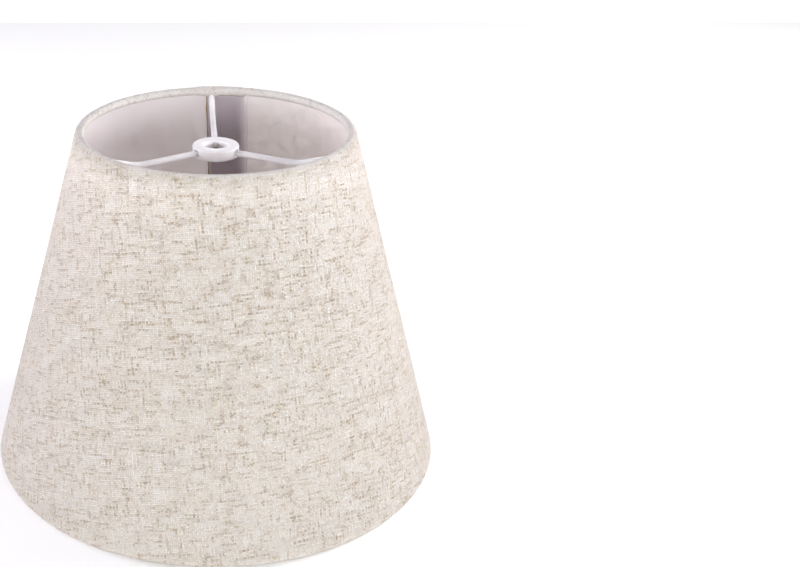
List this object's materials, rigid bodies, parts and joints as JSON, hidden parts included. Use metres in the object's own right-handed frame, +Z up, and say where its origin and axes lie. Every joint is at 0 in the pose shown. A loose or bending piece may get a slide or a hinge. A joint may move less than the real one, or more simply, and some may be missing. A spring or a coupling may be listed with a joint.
{
  "type": "lamp shade",
  "caption": "Small tapered linen lamp shade on a hardback liner, with rolled rims, wire rings and a washer-hub spider recessed in its top.",
  "frame": {"origin": "on the shade's axis, in the plane that the bottom rim stands on", "axes": "+Z up along the shade's axis towards the small end; +Y towards the seam side; +X completes a right-handed frame"},
  "size_m": [0.2538, 0.2538, 0.193],
  "materials": {
    "linen": "undyed slubby linen",
    "liner": "white styrene, satin",
    "tape": "yellowed double-sided tape",
    "coated_wire": "white coating, semi-gloss",
    "coated_hub": "white coating, satin"
  },
  "bodies": {
    "root": {"linen_cover": "linen", "styrene_liner": "liner", "seam_tape": "tape", "top_ring": "coated_wire", "bottom_ring": "coated_wire", "hub_washer": "coated_hub", "arm_rear": "coated_wire", "arm_left": "coated_wire", "arm_right": "coated_wire"}
  },
  "joints": []
}
